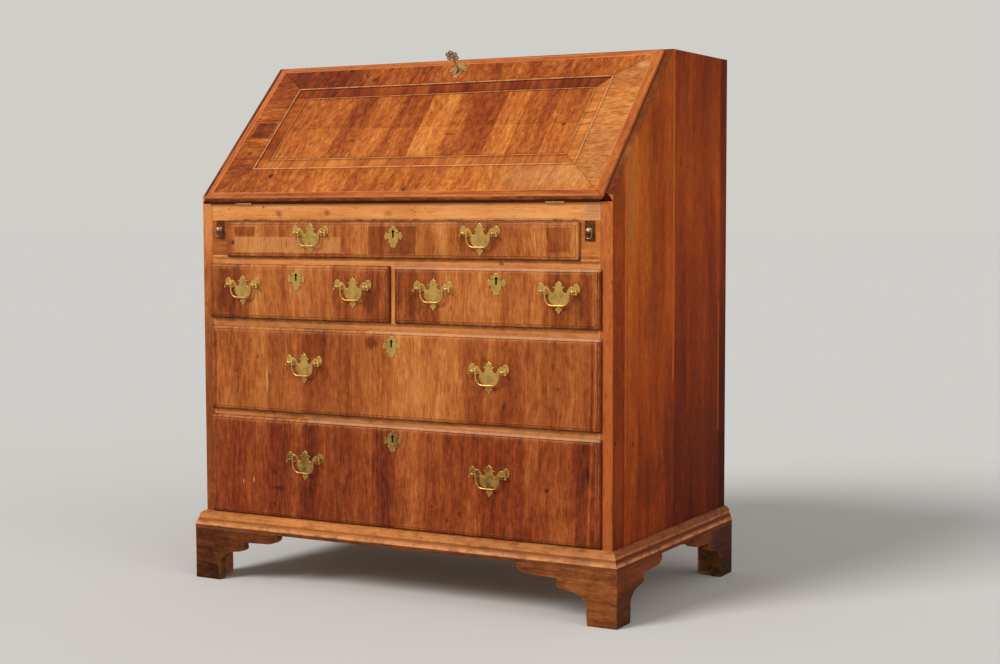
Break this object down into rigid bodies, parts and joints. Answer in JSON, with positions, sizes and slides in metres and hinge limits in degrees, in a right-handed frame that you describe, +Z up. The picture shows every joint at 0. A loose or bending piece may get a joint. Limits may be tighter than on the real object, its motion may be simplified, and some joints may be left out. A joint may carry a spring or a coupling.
{
  "type": "slant-front desk",
  "caption": "Slant-front desk with a hinged writing fall on pull-out lopers, lipped drawers with swinging bail handles, fitted interior and bracket feet.",
  "frame": {"origin": "on the floor under the centre of the part's bounding box", "axes": "+X to the right seen from the front, +Y to the back, +Z up"},
  "size_m": [0.948, 0.5658, 1.0638],
  "materials": {
    "walnut_case": "waxed, dark red-brown",
    "walnut_rails": "waxed, pale orange-brown",
    "walnut_base": "waxed, worn",
    "walnut_fall": "waxed, golden brown",
    "walnut_drawers": "waxed, mid brown",
    "oak_lining": "dry, unpolished",
    "walnut_gallery": "satin",
    "brass": "aged, rubbed bright on the edges",
    "dark_brass": "tarnished",
    "iron": "dark, worn"
  },
  "bodies": {
    "case": {"left_side": "walnut_case", "right_side": "walnut_case", "top_board": "walnut_case", "bottom_board": "oak_lining", "back_boards": "oak_lining", "writing_board": "walnut_rails", "top_rail": "walnut_rails", "drawer_rails": "walnut_rails", "dust_boards": "oak_lining", "loper_housings": "walnut_rails", "base_moulding": "walnut_base", "front_feet": "walnut_base", "back_feet": "walnut_base", "gallery": "walnut_gallery", "case_hinge_leaves": "dark_brass", "case_fixings": "iron"},
    "fall": {"fall_core": "walnut_fall", "fall_panel": "walnut_fall", "fall_frame": "walnut_fall", "fall_moulding": "walnut_fall", "fall_hinge_leaves": "dark_brass", "fall_lock": "dark_brass", "fall_escutcheon": "brass"},
    "key": {"fall_key": "iron"},
    "lock_bolt": {"fall_bolt": "iron"},
    "left_loper_arm": {"left_loper": "walnut_rails", "left_loper_knob": "dark_brass"},
    "left_ring": {"left_loper_ring": "dark_brass"},
    "right_loper_arm": {"right_loper": "walnut_rails", "right_loper_knob": "dark_brass"},
    "right_ring": {"right_loper_ring": "dark_brass"},
    "first_drawer": {"first_drawer_front": "walnut_drawers", "first_drawer_box": "oak_lining", "first_drawer_brasses": "brass"},
    "first_drawer_left_bail_swing": {"first_drawer_left_bail": "brass"},
    "first_drawer_right_bail_swing": {"first_drawer_right_bail": "brass"},
    "second_left_drawer": {"second_left_drawer_front": "walnut_drawers", "second_left_drawer_box": "oak_lining", "second_left_drawer_brasses": "brass"},
    "second_left_drawer_left_bail_swing": {"second_left_drawer_left_bail": "brass"},
    "second_left_drawer_right_bail_swing": {"second_left_drawer_right_bail": "brass"},
    "second_right_drawer": {"second_right_drawer_front": "walnut_drawers", "second_right_drawer_box": "oak_lining", "second_right_drawer_brasses": "brass"},
    "second_right_drawer_left_bail_swing": {"second_right_drawer_left_bail": "brass"},
    "second_right_drawer_right_bail_swing": {"second_right_drawer_right_bail": "brass"},
    "third_drawer": {"third_drawer_front": "walnut_drawers", "third_drawer_box": "oak_lining", "third_drawer_brasses": "brass"},
    "third_drawer_left_bail_swing": {"third_drawer_left_bail": "brass"},
    "third_drawer_right_bail_swing": {"third_drawer_right_bail": "brass"},
    "fourth_drawer": {"fourth_drawer_front": "walnut_drawers", "fourth_drawer_box": "oak_lining", "fourth_drawer_brasses": "brass"},
    "fourth_drawer_left_bail_swing": {"fourth_drawer_left_bail": "brass"},
    "fourth_drawer_right_bail_swing": {"fourth_drawer_right_bail": "brass"},
    "left_outer_small_drawer_body": {"left_outer_small_drawer": "walnut_gallery"},
    "left_inner_small_drawer_body": {"left_inner_small_drawer": "walnut_gallery"},
    "right_inner_small_drawer_body": {"right_inner_small_drawer": "walnut_gallery"},
    "right_outer_small_drawer_body": {"right_outer_small_drawer": "walnut_gallery"}
  },
  "joints": [
    {"name": "fall_hinge", "type": "hinge", "parent": "case", "child": "fall", "pos_m": [0, -0.2651, 0.762], "axis": [1, 0, 0], "range_deg": [0, 137.69]},
    {"name": "key_turn", "type": "hinge", "parent": "fall", "child": "key", "pos_m": [0.00801, -0.01748, 1.01514], "axis": [0, -0.7149, 0.6993], "range_deg": [0, 180]},
    {"name": "bolt_slide", "type": "slide", "parent": "fall", "child": "lock_bolt", "axis": [0, 0.6993, 0.7149], "range_m": [0, 0.006]},
    {"name": "left_loper_slide", "type": "slide", "parent": "case", "child": "left_loper_arm", "axis": [0, -1, 0], "range_m": [0, 0.3]},
    {"name": "left_ring_swing", "type": "hinge", "parent": "left_loper_arm", "child": "left_ring", "pos_m": [-0.4125, -0.2691, 0.7115], "axis": [-1, 0, 0], "range_deg": [-20, 110]},
    {"name": "right_loper_slide", "type": "slide", "parent": "case", "child": "right_loper_arm", "axis": [0, -1, 0], "range_m": [0, 0.3]},
    {"name": "right_ring_swing", "type": "hinge", "parent": "right_loper_arm", "child": "right_ring", "pos_m": [0.4125, -0.2691, 0.7115], "axis": [-1, 0, 0], "range_deg": [-20, 110]},
    {"name": "first_drawer_slide", "type": "slide", "parent": "case", "child": "first_drawer", "axis": [0, -1, 0], "range_m": [0, 0.3]},
    {"name": "first_drawer_left_bail_hinge", "type": "hinge", "parent": "first_drawer", "child": "first_drawer_left_bail_swing", "pos_m": [-0.18706, -0.2786, 0.705], "axis": [-1, 0, 0], "range_deg": [-9, 100]},
    {"name": "first_drawer_right_bail_hinge", "type": "hinge", "parent": "first_drawer", "child": "first_drawer_right_bail_swing", "pos_m": [0.19182, -0.2786, 0.705], "axis": [-1, 0, 0], "range_deg": [-9, 100]},
    {"name": "second_left_drawer_slide", "type": "slide", "parent": "case", "child": "second_left_drawer", "axis": [0, -1, 0], "range_m": [0, 0.3]},
    {"name": "second_left_drawer_left_bail_hinge", "type": "hinge", "parent": "second_left_drawer", "child": "second_left_drawer_left_bail_swing", "pos_m": [-0.35203, -0.2786, 0.6015], "axis": [-1, 0, 0], "range_deg": [-9, 100]},
    {"name": "second_left_drawer_right_bail_hinge", "type": "hinge", "parent": "second_left_drawer", "child": "second_left_drawer_right_bail_swing", "pos_m": [-0.0892, -0.2786, 0.6015], "axis": [-1, 0, 0], "range_deg": [-9, 100]},
    {"name": "second_right_drawer_slide", "type": "slide", "parent": "case", "child": "second_right_drawer", "axis": [0, -1, 0], "range_m": [0, 0.3]},
    {"name": "second_right_drawer_left_bail_hinge", "type": "hinge", "parent": "second_right_drawer", "child": "second_right_drawer_left_bail_swing", "pos_m": [0.09136, -0.2786, 0.6015], "axis": [-1, 0, 0], "range_deg": [-9, 100]},
    {"name": "second_right_drawer_right_bail_hinge", "type": "hinge", "parent": "second_right_drawer", "child": "second_right_drawer_right_bail_swing", "pos_m": [0.35419, -0.2786, 0.6015], "axis": [-1, 0, 0], "range_deg": [-9, 100]},
    {"name": "third_drawer_slide", "type": "slide", "parent": "case", "child": "third_drawer", "axis": [0, -1, 0], "range_m": [0, 0.3]},
    {"name": "third_drawer_left_bail_hinge", "type": "hinge", "parent": "third_drawer", "child": "third_drawer_left_bail_swing", "pos_m": [-0.20481, -0.2786, 0.451], "axis": [-1, 0, 0], "range_deg": [-9, 100]},
    {"name": "third_drawer_right_bail_hinge", "type": "hinge", "parent": "third_drawer", "child": "third_drawer_right_bail_swing", "pos_m": [0.21, -0.2786, 0.451], "axis": [-1, 0, 0], "range_deg": [-9, 100]},
    {"name": "fourth_drawer_slide", "type": "slide", "parent": "case", "child": "fourth_drawer", "axis": [0, -1, 0], "range_m": [0, 0.3]},
    {"name": "fourth_drawer_left_bail_hinge", "type": "hinge", "parent": "fourth_drawer", "child": "fourth_drawer_left_bail_swing", "pos_m": [-0.20481, -0.2786, 0.259], "axis": [-1, 0, 0], "range_deg": [-9, 100]},
    {"name": "fourth_drawer_right_bail_hinge", "type": "hinge", "parent": "fourth_drawer", "child": "fourth_drawer_right_bail_swing", "pos_m": [0.21, -0.2786, 0.259], "axis": [-1, 0, 0], "range_deg": [-9, 100]},
    {"name": "left_outer_small_drawer_slide", "type": "slide", "parent": "case", "child": "left_outer_small_drawer_body", "axis": [0, -1, 0], "range_m": [0, 0.15]},
    {"name": "left_inner_small_drawer_slide", "type": "slide", "parent": "case", "child": "left_inner_small_drawer_body", "axis": [0, -1, 0], "range_m": [0, 0.15]},
    {"name": "right_inner_small_drawer_slide", "type": "slide", "parent": "case", "child": "right_inner_small_drawer_body", "axis": [0, -1, 0], "range_m": [0, 0.15]},
    {"name": "right_outer_small_drawer_slide", "type": "slide", "parent": "case", "child": "right_outer_small_drawer_body", "axis": [0, -1, 0], "range_m": [0, 0.15]}
  ],
  "couplings": [
    {"joint": "key_turn", "follows": "bolt_slide", "rad_per_m": 523.6}
  ]
}
